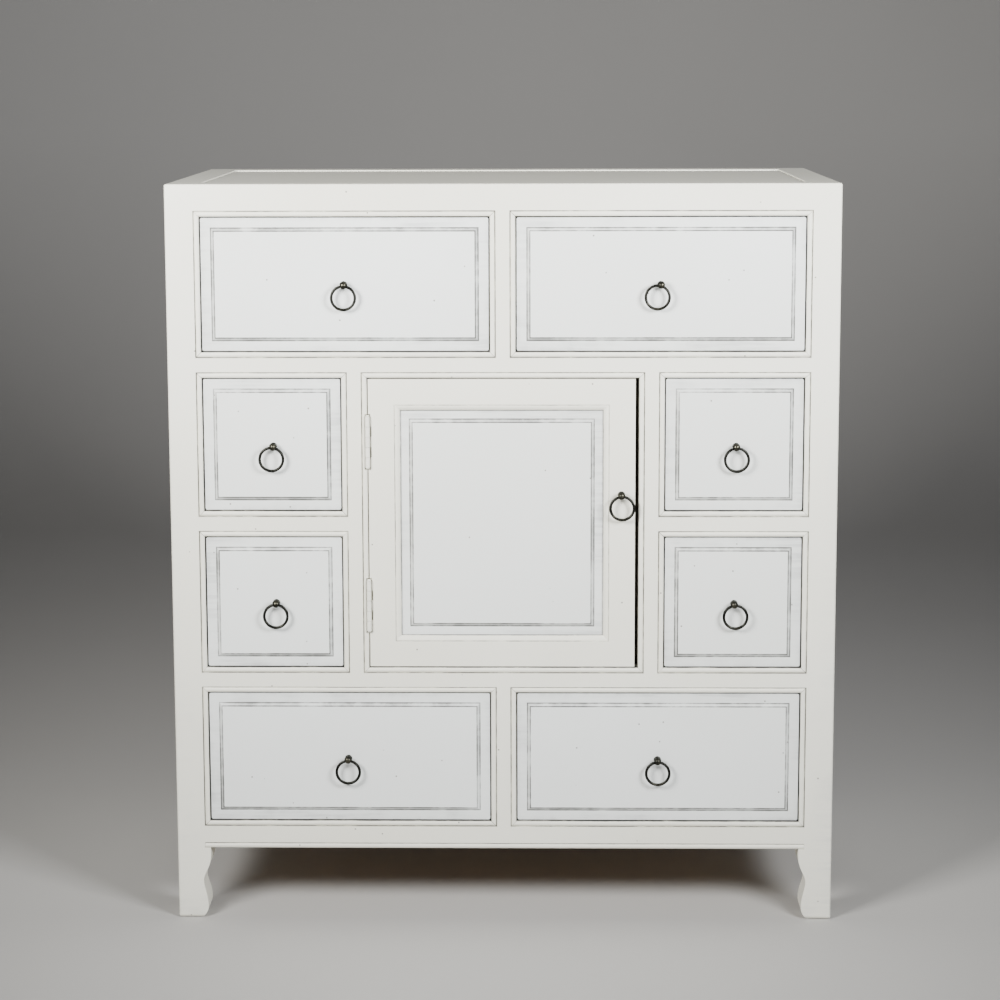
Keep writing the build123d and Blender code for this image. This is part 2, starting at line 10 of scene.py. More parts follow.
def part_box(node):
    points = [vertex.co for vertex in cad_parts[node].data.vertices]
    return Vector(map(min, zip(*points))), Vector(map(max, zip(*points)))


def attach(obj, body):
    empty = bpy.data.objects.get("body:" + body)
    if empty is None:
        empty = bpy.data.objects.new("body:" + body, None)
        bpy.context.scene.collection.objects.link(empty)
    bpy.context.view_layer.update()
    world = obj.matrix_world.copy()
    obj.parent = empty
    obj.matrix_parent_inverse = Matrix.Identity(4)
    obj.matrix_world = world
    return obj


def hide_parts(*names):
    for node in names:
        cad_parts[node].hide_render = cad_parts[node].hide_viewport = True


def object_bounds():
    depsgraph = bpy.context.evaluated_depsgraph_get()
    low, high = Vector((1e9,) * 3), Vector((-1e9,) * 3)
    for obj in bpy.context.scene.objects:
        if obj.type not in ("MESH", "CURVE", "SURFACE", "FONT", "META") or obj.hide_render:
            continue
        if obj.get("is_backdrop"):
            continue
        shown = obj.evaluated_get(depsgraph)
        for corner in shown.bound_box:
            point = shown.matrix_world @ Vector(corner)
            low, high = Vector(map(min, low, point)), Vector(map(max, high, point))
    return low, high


bl_info = {
    "name": "Apothecary Cabinet",
    "version": (1, 0, 0),
    "blender": (4, 5, 0),
    "location": "View3D > Sidebar > Cabinet",
    "description": "A painted cabinet with ring pulls, built piece by piece on its frame",
    "category": "Object",
}

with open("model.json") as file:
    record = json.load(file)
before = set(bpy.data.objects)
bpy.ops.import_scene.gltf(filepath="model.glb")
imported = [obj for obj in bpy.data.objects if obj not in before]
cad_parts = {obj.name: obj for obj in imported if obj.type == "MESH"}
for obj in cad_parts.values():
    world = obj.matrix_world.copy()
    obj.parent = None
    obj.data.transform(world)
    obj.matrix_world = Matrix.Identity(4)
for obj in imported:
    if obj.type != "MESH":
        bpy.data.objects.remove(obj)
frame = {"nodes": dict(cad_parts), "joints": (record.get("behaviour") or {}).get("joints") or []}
CAD_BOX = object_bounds()

MM = 0.001
WELD = 0.005 * MM  # points nearer than this are one point
SHARP = radians(30)
SQUARE = radians(60)  # only corners near a right angle are sharper than this
HAIRLINE = 0.3 * MM  # half the width of a joint between painted boards

ROWS = ("top", "upper", "lower", "bottom")
SIDES = ("left", "right")
DRAWERS = [f"{row}_{side}_drawer" for row in ROWS for side in SIDES]
LEGS = [f"{end}_{side}_leg" for end in ("front", "rear") for side in SIDES]
JOINTS = {joint["name"]: joint for joint in frame["joints"]}

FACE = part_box("front_rails")[0].y  # front plane of the face frame
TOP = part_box("top_frame")[1].z
DOOR_LOW, DOOR_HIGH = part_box("door_frame")
HINGE = Vector(JOINTS["door_hinge"]["pos_m"])
KNUCKLES = 5


# ---- Settings ----


def length(name, description, default):
    """A length in metres, given here in millimetres."""
    return FloatProperty(
        name=name, description=description, default=default * MM, min=0, precision=5,
        subtype="DISTANCE", unit="LENGTH",
    )


def colour(name, description, default):
    """A linear colour."""
    return FloatVectorProperty(
        name=name, description=description, default=default, size=3, min=0, max=1, subtype="COLOR"
    )


def share(name, description, default):
    """A number from 0 to 1."""
    return FloatProperty(
        name=name, description=description, default=default, min=0, max=1, subtype="FACTOR"
    )


class BeadSettings(bpy.types.PropertyGroup):
    """Sizes of the rounded strip round each opening"""

    width: length("Width", "Width of a bead with its groove", 7)
    depth: length("Depth", "Front to back", 9)
    groove: length("Groove", "Width of the groove beside the round", 1)
    groove_depth: length("Groove depth", "Depth of the groove", 2)
    hinge_gap: length("Hinge gap", "From the door to the bead on its hinge side", 1.2)
    gap: length("Opening gap", "From a drawer front to its bead", 1.5)
    mitre_gap: length("Mitre gap", "Half of the hairline in a corner", 0.09)
    mitre_stain: length("Mitre stain", "How far glaze creeps from a corner's hairline", 0.9)


class FrontSettings(bpy.types.PropertyGroup):
    """Sizes of the raised field on a drawer front or door panel"""

    margin: length("Margin", "Flat margin round a drawer's field", 12)
    door_margin: length("Door margin", "Flat margin round the door's field", 10.5)
    bevel: length("Bevel", "Width of the sloping edge of a field", 3.5)
    rise: length("Rise", "Height of a field over its margin", 3)
    outer_corner: length("Outer corner", "Rounding of a drawer front's corners", 2)
    ease: length("Ease", "Softening of a drawer front's edges", 0.6)


class DoorSettings(bpy.types.PropertyGroup):
    """Sizes of the door's frame"""

    flat: length("Flat", "Flat face of the frame", 31)
    bead: length("Bead", "Moulding on the inner edge", 7.5)
    panel_depth: length("Panel depth", "From the door's face to the panel's margin", 6)
    groove: length("Groove", "Depth of the groove that holds the panel", 6.5)
    panel_edge: length("Panel edge", "Thickness of the panel in its groove", 8)


class PullSettings(bpy.types.PropertyGroup):
    """Sizes of a ball, its shank and its ring"""

    reach: length("Reach", "From the face to the middle of the ball", 8.5)
    ball: length("Ball", "Radius of the ball", 4.6)
    hole: length("Hole", "Radius of the hole across the ball", 2.6)
    drop: length("Drop", "From the middle of the ball down to its hole", 1.2)
    neck: length("Neck", "Radius of the neck", 2.5)
    flange: length("Flange", "Radius of the flange on the face", 4.3)
    flange_height: length("Flange height", "Thickness of the flange", 1.2)
    shank: length("Shank", "Radius of the threaded shank", 2)
    nut: length("Nut", "Across the flats of the nut", 8)
    nut_height: length("Nut height", "Thickness of the nut", 3)
    ring: length("Ring", "Radius to the middle of the wire", 14)
    wire: length("Wire", "Radius of the wire", 1.75)
    unevenness: length("Unevenness", "Hand-made unevenness of the wire", 0.07)


class PaintSettings(bpy.types.PropertyGroup):
    """Colours of the paint, of the glaze in its hollows and of the painted shade in its gaps"""

    frame_colour: colour("Frame paint", "Warm white of the frame", (0.81, 0.80, 0.71))
    front_colour: colour("Front paint", "Cooler white of the fields", (0.76, 0.785, 0.77))
    # The glaze colour and strength also paint shade on the walls of the gaps round the drawers and the
    # door.
    glaze_and_shade_colour: colour("Glaze", "Grey-brown glaze left in the hollows", (0.055, 0.052, 0.048))
    smudge_colour: colour("Smudge", "Thin wiped glaze", (0.42, 0.43, 0.43))
    glaze: share("Glaze strength", "How dark the hollows are", 0.95)
    smudge: share("Smudge strength", "How dark the wiped margins are", 0.7)
    roughness: share("Roughness", "Roughness of the satin paint", 0.42)


class WoodSettings(bpy.types.PropertyGroup):
    """Colours of the bare wood inside"""

    light: colour("Early wood", "Light part of the grain", (0.46, 0.32, 0.19))
    dark: colour("Late wood", "Dark part of the grain", (0.28, 0.17, 0.09))
    ease: length("Ease", "Softening of a board's edges", 0.7)


class MetalSettings(bpy.types.PropertyGroup):
    """Colours of the pulls and the catch"""

    bronze: colour("Bronze", "Dark bronze", (0.017, 0.0172, 0.0152))
    # Also paints a highlight on the front of each ball.
    rubbed_and_sheen: colour("Rubbed bronze", "Bronze where it is handled", (0.07, 0.067, 0.05))
    steel: colour("Steel", "Zinc-plated steel", (0.55, 0.56, 0.57))


class StageSettings(bpy.types.PropertyGroup):
    """Floor, lights and camera"""

    floor_colour: colour("Floor", "Pale floor and wall", (0.46, 0.45, 0.435))
    left: FloatProperty(name="Left light", description="Watts of the left light", default=30, min=0)
    right: FloatProperty(name="Right light", description="Watts of the right light", default=28.5, min=0)
    above: FloatProperty(name="Top light", description="Watts from above", default=1.5, min=0)
    sky: FloatProperty(name="Surround", description="Strength of the surround", default=0.09, min=0)
    lens: FloatProperty(
        name="Lens", description="Focal length of the camera", default=84.137, min=1,
        subtype="DISTANCE_CAMERA", unit="CAMERA",
    )


class CabinetSettings(bpy.types.PropertyGroup):
    """Everything that a user would change"""

    beads: PointerProperty(type=BeadSettings)
    fronts: PointerProperty(type=FrontSettings)
    door: PointerProperty(type=DoorSettings)
    pulls: PointerProperty(type=PullSettings)
    paint: PointerProperty(type=PaintSettings)
    wood: PointerProperty(type=WoodSettings)
    metal: PointerProperty(type=MetalSettings)
    stage: PointerProperty(type=StageSettings)
    steps: IntProperty(name="Steps", description="Steps of a turned piece", default=40, min=8)


# ---- Materials ----


class Value:
    """An output of a node; arithmetic on it adds Math nodes."""

    def __init__(self, shade, socket):
        self.shade = shade
        self.socket = socket

    def math(self, operation, *others):
        sockets = dict(enumerate((self, *others)))
        return self.shade.node("ShaderNodeMath", {"operation": operation}, sockets)

    def __add__(self, other):
        return self.math("ADD", other)

    __radd__ = __add__

    def __mul__(self, other):
        return self.math("MULTIPLY", other)

    __rmul__ = __mul__

    def __sub__(self, other):
        return self.math("SUBTRACT", other)

    def step(self, low, high):
        """0 below low, 1 above high and smooth between; low may be the larger."""
        return self.shade.node(
            "ShaderNodeMapRange",
            {"interpolation_type": "SMOOTHSTEP"},
            {"Value": self, "From Min": low, "From Max": high},
        )


class Shade:
    """The nodes of one material."""

    def __init__(self, name):
        self.material = bpy.data.materials.new(name)
        self.material.use_nodes = True
        self.tree = self.material.node_tree
        self.tree.nodes.clear()
        self.point = self.node("ShaderNodeTexCoord", output="Object")

    def node(self, kind, settings=None, sockets=None, output=0):
        """Add a node, set it up, fill or link its sockets, and return one output."""
        node = self.tree.nodes.new(kind)
        for key, value in (settings or {}).items():
            setattr(node, key, value)
        for key, value in (sockets or {}).items():
            socket = node.inputs[key]
            if isinstance(value, Value):
                self.tree.links.new(value.socket, socket)
            elif isinstance(value, (tuple, list)) and len(value) == 3 and socket.type == "RGBA":
                socket.default_value = (*value, 1)
            else:
                socket.default_value = value
        return Value(self, node.outputs[output]) if len(node.outputs) else None

    def place(self, stretch=(1, 1, 1), shift=(0, 0, 0)):
        """The object's own coordinates, stretched and moved."""
        sockets = {"Vector": self.point, "Scale": stretch, "Location": shift}
        return self.node("ShaderNodeMapping", sockets=sockets)

    def noise(self, scale, detail=3.0, roughness=0.5, distortion=0.0, **placing):
        """Noise with its scale in cycles per metre."""
        sockets = {
            "Vector": self.place(**placing), "Scale": scale, "Detail": detail,
            "Roughness": roughness, "Distortion": distortion,
        }
        return self.node("ShaderNodeTexNoise", sockets=sockets)

    def specks(self, scale, size, shift):
        """1 in small dots: the points of a cell pattern that lie near the surface."""
        sockets = {"Vector": self.place(shift=shift), "Scale": scale}
        near = self.node("ShaderNodeTexVoronoi", sockets=sockets, output="Distance")
        return near.step(size * scale, 0.45 * size * scale)

    def attribute(self, name):
        """A number stored on the points of the mesh."""
        return self.node("ShaderNodeAttribute", {"attribute_name": name}, output="Fac")

    def mix(self, factor, under, over):
        """Two colours mixed by a factor; sockets 6, 7 and 2 are the node's colour ones."""
        return self.node(
            "ShaderNodeMix", {"data_type": "RGBA", "clamp_factor": True},
            {"Factor": factor, 6: under, 7: over}, output=2,
        )

    def bump(self, height, distance, strength=1.0):
        """Relief, with its full height in metres."""
        sockets = {"Height": height, "Distance": distance, "Strength": strength}
        return self.node("ShaderNodeBump", sockets=sockets)

    def finish(self, **inputs):
        """The shader itself. Names of inputs have _ for a space."""
        sockets = {name.replace("_", " "): value for name, value in inputs.items()}
        shader = self.node("ShaderNodeBsdfPrincipled", sockets=sockets)
        self.node("ShaderNodeOutputMaterial", sockets={"Surface": shader})
        return self.material


def tinted(tone, factor):
    """A colour made lighter or darker."""
    return tuple(min(1.0, part * factor) for part in tone)


def paint_material(name, tone, settings, seed):
    """Satin paint: brushed, mottled, with specks, and darkened where the glaze layer says: real glaze in
    grooves and joints, painted shade on the walls of the gaps.
    """
    shade = Shade(name)
    shift = (seed, 0.37 * seed, 0.61 * seed)
    broad = shade.noise(2.2, 2.0, shift=shift)
    cloud = shade.noise(14.0, 4.0, 0.6, shift=shift)
    fine = shade.noise(170.0, 3.0, 0.6, shift=shift)
    broken = shade.noise(75.0, 4.0, 0.65, shift=shift)
    aged = tinted((tone[0], 0.992 * tone[1], 0.97 * tone[2]), 0.965)
    colour_now = shade.mix(broad.step(0.35, 0.68), tinted(tone, 1.02), aged)
    colour_now = shade.mix(cloud.step(0.5, 0.8) * 0.35, colour_now, tinted(tone, 0.93))

    smudge = shade.attribute("smudge")
    drift = shade.noise(9.0, 4.0, 0.6, shift=(seed + 3, 0, 0))
    streaks = shade.noise(60.0, 4.0, 0.65, stretch=(0.16, 1, 2.6))
    wiped = smudge * (0.1 + 0.9 * drift.step(0.44, 0.66)) * (0.25 + 0.75 * streaks.step(0.4, 0.62))
    colour_now = shade.mix(wiped * settings.smudge, colour_now, tuple(settings.smudge_colour))

    # Dark where the layer says: glaze in the grooves and joints, painted shade in the gaps.
    groove = shade.attribute("glaze")
    ragged_glaze_and_shade = groove * (0.8 + 0.45 * broken.step(0.32, 0.66)) * (0.7 + 0.5 * cloud.step(0.35, 0.65))
    glaze_and_shade_held = ragged_glaze_and_shade.step(0.1, 0.9)
    colour_now = shade.mix(glaze_and_shade_held * settings.glaze, colour_now, tuple(settings.glaze_and_shade_colour))

    specks = shade.specks(38.0, 0.0013, shift)
    colour_now = shade.mix(specks * 0.85, colour_now, (0.10, 0.085, 0.065))

    brushed = shade.noise(38.0, 4.0, 0.6, stretch=(9.0, 9.0, 0.55), shift=shift)
    peel = shade.noise(620.0, 2.0, 0.5)
    height = 0.55 * brushed + 0.3 * peel + 0.35 * fine - 0.8 * specks
    normal = shade.bump(height, 0.10 * MM, 0.8)
    rough = settings.roughness + 0.10 * (cloud - 0.5) + 0.12 * (brushed - 0.5) + 0.3 * glaze_and_shade_held
    return shade.finish(
        Base_Color=colour_now, Roughness=rough + 0.12 * wiped, Normal=normal,
        Coat_Weight=0.08, Coat_Roughness=0.28,
    )


def wood_material(name, axis, settings, depth):
    """Wood whose grain runs along one axis, made darker by depth; a small depth paints shade onto it."""
    shade = Shade(name)
    light, dark = tinted(settings.light, depth), tinted(settings.dark, depth)
    along = tuple(0.06 if each == axis else 1.0 for each in "XYZ")
    along_pores = tuple(0.035 if each == axis else 1.0 for each in "XYZ")
    rings = shade.noise(34.0, 3.0, 0.55, stretch=along, distortion=0.9)
    bands = shade.noise(150.0, 4.0, 0.7, stretch=along)
    pores = shade.noise(900.0, 2.0, 0.5, stretch=along_pores).step(0.62, 0.74)
    broad = shade.noise(5.0, 2.0)
    grain = 0.6 * rings.step(0.3, 0.7) + 0.4 * bands
    colour_now = shade.mix(grain, light, dark)
    colour_now = shade.mix(broad.step(0.35, 0.7) * 0.3, colour_now, tinted(light, 1.18))
    colour_now = shade.mix(pores * 0.55, colour_now, tinted(dark, 0.45))
    height = 0.6 * bands + 0.4 * rings - 0.8 * pores
    return shade.finish(
        Base_Color=colour_now, Roughness=0.56 + 0.16 * bands, Normal=shade.bump(height, 0.12 * MM),
    )


def bronze_material(settings):
    """Dark antique bronze, brassy where the wear layer says: rubbed wear on the rings, rubbed wear and a
    painted highlight on the front of the balls.
    """
    shade = Shade("aged_bronze")
    mottle = shade.noise(160.0, 4.0, 0.65)
    scratch = shade.noise(900.0, 3.0, 0.6, stretch=(1.0, 1.0, 0.3))
    worn_and_sheen = (shade.attribute("wear") * (0.4 + mottle.step(0.35, 0.68))).step(0.2, 1.1)
    colour_now = shade.mix(mottle.step(0.35, 0.7), tuple(settings.bronze), tinted(settings.bronze, 1.6))
    colour_now = shade.mix(worn_and_sheen, colour_now, tuple(settings.rubbed_and_sheen))
    rough = 0.38 + 0.18 * (mottle - 0.5) - 0.1 * worn_and_sheen + 0.1 * (scratch - 0.5)
    normal = shade.bump(0.6 * mottle + 0.4 * scratch, 0.08 * MM)
    return shade.finish(
        Base_Color=colour_now, Metallic=0.85, Roughness=rough, Normal=normal,
        Specular_IOR_Level=0.35, Specular_Tint=(0.42, 0.42, 0.4),
    )


def hinge_material(paint):
    """White paint brushed over a steel hinge, with a few small chips."""
    shade = Shade("hinge_paint")
    fine = shade.noise(420.0, 4.0, 0.65)
    broad = shade.noise(60.0, 2.0)
    chipped = fine.step(0.66, 0.72)
    tone = tuple(paint.frame_colour)
    colour_now = shade.mix(broad.step(0.3, 0.7), tinted(tone, 0.97), tinted(tone, 0.88))
    colour_now = shade.mix(chipped * 0.85, colour_now, (0.16, 0.15, 0.135))
    normal = shade.bump(fine, 0.05 * MM)
    return shade.finish(
        Base_Color=colour_now, Metallic=0.55 * chipped, Roughness=0.40 + 0.15 * fine, Normal=normal
    )


def steel_material(settings):
    """Plain zinc-plated steel with a faint spangle."""
    shade = Shade("zinc_steel")
    spangle = shade.noise(240.0, 3.0, 0.5)
    scuffs = shade.noise(700.0, 3.0, 0.7, stretch=(0.15, 1.0, 1.0))
    tone = tuple(settings.steel)
    colour_now = shade.mix(spangle.step(0.3, 0.7), tinted(tone, 0.9), tinted(tone, 1.08))
    return shade.finish(
        Base_Color=colour_now, Metallic=1.0, Roughness=0.34 + 0.2 * scuffs,
        Normal=shade.bump(scuffs, 0.04 * MM),
    )


def floor_material(tone):
    """Plain pale studio floor."""
    shade = Shade("studio_floor")
    cloud = shade.noise(1.6, 3.0)
    grit = shade.noise(240.0, 2.0)
    colour_now = shade.mix(cloud.step(0.3, 0.7) * 0.5, tone, tinted(tone, 0.96))
    return shade.finish(
        Base_Color=colour_now, Roughness=0.78 + 0.1 * grit, Normal=shade.bump(grit, 0.1 * MM)
    )


def material(name):
    """A material of this script by name, made on first use."""
    if name in bpy.data.materials:
        return bpy.data.materials[name]
    cabinet = bpy.context.scene.apothecary_cabinet
    paint = cabinet.paint
    if name == "frame_paint":
        return paint_material(name, tuple(paint.frame_colour), paint, 1.7)
    if name == "joint_line":
        return paint_material(name, tinted(paint.frame_colour, 0.4), paint, 2.9)
    if name == "front_paint":
        return paint_material(name, tuple(paint.front_colour), paint, 5.3)
    if name == "aged_bronze":
        return bronze_material(cabinet.metal)
    if name == "hinge_paint":
        return hinge_material(paint)
    if name == "zinc_steel":
        return steel_material(cabinet.metal)
    # The darkened wood is painted shade, for boards that sit in a dark gap.
    depth = 0.12 if name.startswith("stained") else 1.0
    return wood_material(name, name[-1].upper(), cabinet.wood, depth)


JOINTED = ("frame_paint", "joint_line")  # paint, and the glaze held in a hairline joint
GRAINS = ("wood_along_x", "wood_along_y", "wood_along_z")
# Near-black wood: painted shade on the door stops in the gap beside the door.
SHADE_DARKENED = ("stained_along_x", "stained_along_y", "stained_along_z")


# ---- Mesh helpers ----


def finished(bm, name, body, nodes, materials):
    """Make the mesh an object that stands for its CAD nodes and rides on their body."""
    mesh = bpy.data.meshes.new(name)
    bm.normal_update()
    bm.to_mesh(mesh)
    bm.free()
    for each in materials:
        mesh.materials.append(material(each))
    piece = bpy.data.objects.new(name, mesh)
    bpy.context.scene.collection.objects.link(piece)
    soften(piece)
    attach(piece, body)
    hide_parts(*nodes)
    return piece


def soften(piece):
    """Shade rounds smooth and keep flats flat."""
    piece.data.shade_smooth()
    piece.data.set_sharp_from_angle(angle=SHARP)
    flats = piece.modifiers.new("flat_faces_first", "WEIGHTED_NORMAL")
    flats.keep_sharp = True


def dress(node, name):
    """Give a CAD node, which keeps its shape, one of the materials."""
    data = frame["nodes"][node].data
    data.materials.clear()
    data.materials.append(material(name))


def merged_copy(node):
    """A CAD node's mesh with its triangles joined into flat faces."""
    bm = bmesh.new()
    bm.from_mesh(frame["nodes"][node].data)
    bmesh.ops.remove_doubles(bm, verts=bm.verts, dist=WELD)
    bmesh.ops.dissolve_limit(bm, angle_limit=radians(0.2), verts=bm.verts, edges=bm.edges)
    return bm


def layer(bm, name):
    """The named number on every point, made if it isn't there."""
    return bm.verts.layers.float.get(name) or bm.verts.layers.float.new(name)


def ease_edges(bm, edges, offset, segments=2):
    """Round edges a little."""
    return bmesh.ops.bevel(
        bm, geom=edges, offset=offset, offset_type="OFFSET", segments=segments, profile=0.5,
        affect="EDGES", material=-1, clamp_overlap=True,
    )


def sharp_edges(bm, angle=SHARP):
    """Edges where two faces meet at more than an angle."""
    return [e for e in bm.edges if e.is_manifold and e.calc_face_angle(0) > angle]


def block(bm, low, high):
    """A box between two corners."""
    made = bmesh.ops.create_cube(bm, size=1)["verts"]
    size = Vector(high) - Vector(low)
    bmesh.ops.scale(bm, vec=size, verts=made)
    bmesh.ops.translate(bm, vec=(Vector(high) + Vector(low)) / 2, verts=made)
    return made


def cut(piece, cutter_mesh):
    """Cut a mesh out of a piece and keep the result."""
    mesh = bpy.data.meshes.new("cutter")
    cutter_mesh.to_mesh(mesh)
    cutter_mesh.free()
    cutter = bpy.data.objects.new("cutter", mesh)
    bpy.context.scene.collection.objects.link(cutter)
    piece.modifiers.clear()
    tool = piece.modifiers.new("cut", "BOOLEAN")
    tool.operation = "DIFFERENCE"
    tool.solver = "EXACT"
    tool.use_self = True
    tool.object = cutter
    graph = bpy.context.evaluated_depsgraph_get()
    made = bpy.data.meshes.new_from_object(piece.evaluated_get(graph))
    old = piece.data
    piece.modifiers.clear()
    piece.data = made
    made.name = old.name
    bpy.data.meshes.remove(old)
    bpy.data.objects.remove(cutter)
    bpy.data.meshes.remove(mesh)
    soften(piece)


# A shape built flat, with +Z outwards, is stood up to look along -Y.
STANDING = Matrix(((1, 0, 0, 0), (0, 0, -1, 0), (0, 1, 0, 0), (0, 0, 0, 1)))


def stood_at(bm, spot):
    """Stand a shape up and move it from the origin to its spot."""
    bmesh.ops.transform(bm, matrix=Matrix.Translation(spot) @ STANDING, verts=bm.verts)


def section_loop(bm, section, spot, outward, face):
    """One closed loop of a moulding's section at a spot (x, z), spreading along outward."""
    glaze = layer(bm, "glaze")
    loop = []
    for across, depth, stain in section:
        vert = bm.verts.new(
            (spot[0] + outward[0] * across, face + depth, spot[1] + outward[1] * across)
        )
        vert[glaze] = stain
        loop.append(vert)
    edges = [bm.edges.new((a, b)) for a, b in zip(loop, loop[1:] + loop[:1])]
    return loop, edges


def moulded_side(bm, section, start, end, outward, face, gap, stain, soiled, lean=1):
    """One side of a moulding, from corner to corner of its opening; ends with a gap are closed.

    Its ends are mitred with a lean of 1 and square with a lean of 0.
    """
    start, end, outward = Vector(start), Vector(end), Vector(outward)
    along = (end - start).normalized()
    dirty = [(a, d, max(g, soiled) if d < face_depth(section) else g) for a, d, g in section]
    rows = []
    for corner, inward in ((start, along), (end, -along)):
        spread = outward - lean * inward
        near = section_loop(bm, dirty, corner + inward * gap, spread, face)
        far = section_loop(bm, section, corner + inward * (gap + stain), spread, face)
        rows.append((near, far))
    (first, second), (last, before_last) = rows
    for one, other in ((first, second), (second, before_last), (before_last, last)):
        bmesh.ops.bridge_loops(bm, edges=one[1] + other[1])
    if gap:
        bm.faces.new(first[0])
        bm.faces.new(last[0])


def face_depth(section):
    """Depth above which a moulding's points can be seen from the front."""
    return max(d for a, d, g in section) * 0.6


def moulded_opening(bm, x, z, section, face, gap, stain, soiled):
    """Mitred strips round the opening between x and z."""
    for start, end, outward in (
        ((x[0], z[0]), (x[1], z[0]), (0, -1)),
        ((x[0], z[0]), (x[0], z[1]), (-1, 0)),
        ((x[0], z[1]), (x[1], z[1]), (0, 1)),
        ((x[1], z[0]), (x[1], z[1]), (1, 0)),
    ):
        moulded_side(bm, section, start, end, outward, face, gap, stain, soiled)


def bead_section(beads):
    """Section of a bead, as (across, depth, glaze and painted shade) from the edge of the opening
    outwards.
    """
    rise = 1.65 * MM
    half = (beads.width - beads.groove) / 2
    radius = (half * half + rise * rise) / (2 * rise)
    # Painted shade on the inner wall that lines the gap.
    points = [(0, beads.depth, 0.9), (0, beads.depth / 2, 0.9)]
    count = 10
    for i in range(count + 1):
        across = 2 * half * i / count
        depth = radius - sqrt(radius * radius - (across - half) ** 2)
        # The opening's edge is dark: glaze on the arris, and painted shade that widens the gap. The
        # groove's edges hold glaze.
        stain = {0: 0.8, count: 0.6, count - 1: 0.2}.get(i, 0.0)
        points.append((across, depth, stain))
    floor = beads.groove_depth
    points += [
        (2 * half + 0.25 * beads.groove, floor, 0.8),
        (beads.width, floor, 0.8),
        (beads.width, beads.depth, 0.0),
    ]
    return points


def raised_board(size, thickness, margin, fronts, outer_corner, ease):
    """A board in its own plane with a bevelled raised field. z = 0 is the face of its margin."""
    bm = bmesh.new()
    glaze = layer(bm, "glaze")
    smudge = layer(bm, "smudge")
    half = Vector((size[0] / 2, size[1] / 2))
    block(bm, (-half.x, -half.y, -thickness), (half.x, half.y, 0))
    if outer_corner:
        uprights = [e for e in bm.edges if abs(e.verts[0].co.z - e.verts[1].co.z) > thickness / 2]
        ease_edges(bm, uprights, outer_corner, 5)
    face = max(bm.faces, key=lambda f: f.calc_center_median().z)
    rim = list(face.edges)
    for vert in face.verts:
        vert[smudge] = 1.0
        vert[glaze] = 0.25
    bmesh.ops.delete(bm, geom=[face], context="FACES_ONLY")

    skirt = 1.0 * MM  # strip at the foot of the bevel that the glaze stains
    made = bmesh.ops.create_grid(bm, x_segments=1, y_segments=1, size=1)["verts"]
    reach = margin - skirt
    bmesh.ops.scale(bm, vec=(half.x - reach, half.y - reach, 1), verts=made)
    field = next(f for f in bm.faces if all(abs(v.co.z) < WELD for v in f.verts))
    for vert in field.verts:
        vert[smudge] = 0.75
    bmesh.ops.triangle_fill(
        bm, use_beauty=True, use_dissolve=False, edges=rim + list(field.edges), normal=(0, 0, 1)
    )
    slope = fronts.rise / fronts.bevel
    edge = 0.8 * MM
    middle = fronts.bevel - 2 * edge
    steps = (
        (skirt, -0.12 * MM, 1.0, 0.5),
        (edge, edge * slope, 0.45, 0.4),
        (middle, middle * slope, 0.3, 0.3),
        (edge, edge * slope * 0.8, 1.0, 0.2),
        (edge, edge * slope * 0.3, 0.5, 0.1),
        (0.4 * MM, 0.02 * MM, 0.0, 0.0),
    )
    for inwards, up, stain, film in steps:
        bmesh.ops.inset_region(
            bm, faces=[field], thickness=inwards, depth=up, use_even_offset=True, use_boundary=True
        )
        for vert in field.verts:
            vert[glaze] = stain
            vert[smudge] = film
    if ease:
        # Painted shade on the sides of the front, from its face to 5 mm behind it, where they line the
        # gap.
        sides = bm.verts[:] + bm.edges[:] + bm.faces[:]
        gap_shade_line = bmesh.ops.bisect_plane(
            bm, geom=sides, plane_co=(0, 0, -5 * MM), plane_no=(0, 0, 1)
        )["geom_cut"]
        for vert in gap_shade_line:
            if isinstance(vert, bmesh.types.BMVert):
                vert[glaze] = 0.9
        outer = [e for e in sharp_edges(bm, SQUARE) if all(abs(v.co.z) < WELD for v in e.verts)]
        ease_edges(bm, outer, ease)
    bmesh.ops.recalc_face_normals(bm, faces=bm.faces)
    return bm


def islands(bm):
    """Groups of joined faces."""
    left = set(bm.faces)
    while left:
        group = set()
        todo = [left.pop()]
        while todo:
            face = todo.pop()
            group.add(face)
            for edge in face.edges:
                for other in edge.link_faces:
                    if other in left:
                        left.discard(other)
                        todo.append(other)
        yield group


def eased_boards(node, name, body, ease, grains=GRAINS):
    """A CAD node of plain boards: edges softened, and each board's grain along its length."""
    bm = merged_copy(node)
    ease_edges(bm, sharp_edges(bm), ease)
    for group in islands(bm):
        points = [v.co for f in group for v in f.verts]
        spans = [max(p[i] for p in points) - min(p[i] for p in points) for i in range(3)]
        grain = spans.index(max(spans))
        for face in group:
            face.material_index = grain
    return finished(bm, name, body, [node], grains)


def is_slanting(edge):
    """True for an edge that isn't along X, Y or Z."""
    run = (edge.verts[1].co - edge.verts[0].co).normalized()
    return sorted(abs(part) for part in run)[1] > 0.3


def turned(bm, profile, steps):
    """Spin a profile of (radius, height) points about Z and close its ends."""
    verts = [bm.verts.new((radius, 0, height)) for radius, height in profile]
    edges = [bm.edges.new(pair) for pair in zip(verts, verts[1:])]
    bmesh.ops.spin(
        bm, geom=verts + edges, cent=(0, 0, 0), axis=(0, 0, 1), angle=2 * pi, steps=steps,
        use_merge=True,
    )
    bmesh.ops.remove_doubles(bm, verts=bm.verts, dist=WELD)
    bmesh.ops.recalc_face_normals(bm, faces=bm.faces)


def arc(centre, radius, start, end, count):
    """Points of (radius, height) on an arc, with its angles in degrees from the radius axis."""
    for i in range(count + 1):
        angle = radians(start + (end - start) * i / count)
        yield (max(0.0, centre[0] + radius * cos(angle)), centre[1] + radius * sin(angle))


# ---- Pieces ----


class Piece:
    """What every operator of the cabinet has in common."""

    bl_options = {"REGISTER", "UNDO"}

    def execute(self, context):
        self.make(context.scene.apothecary_cabinet)
        return {"FINISHED"}


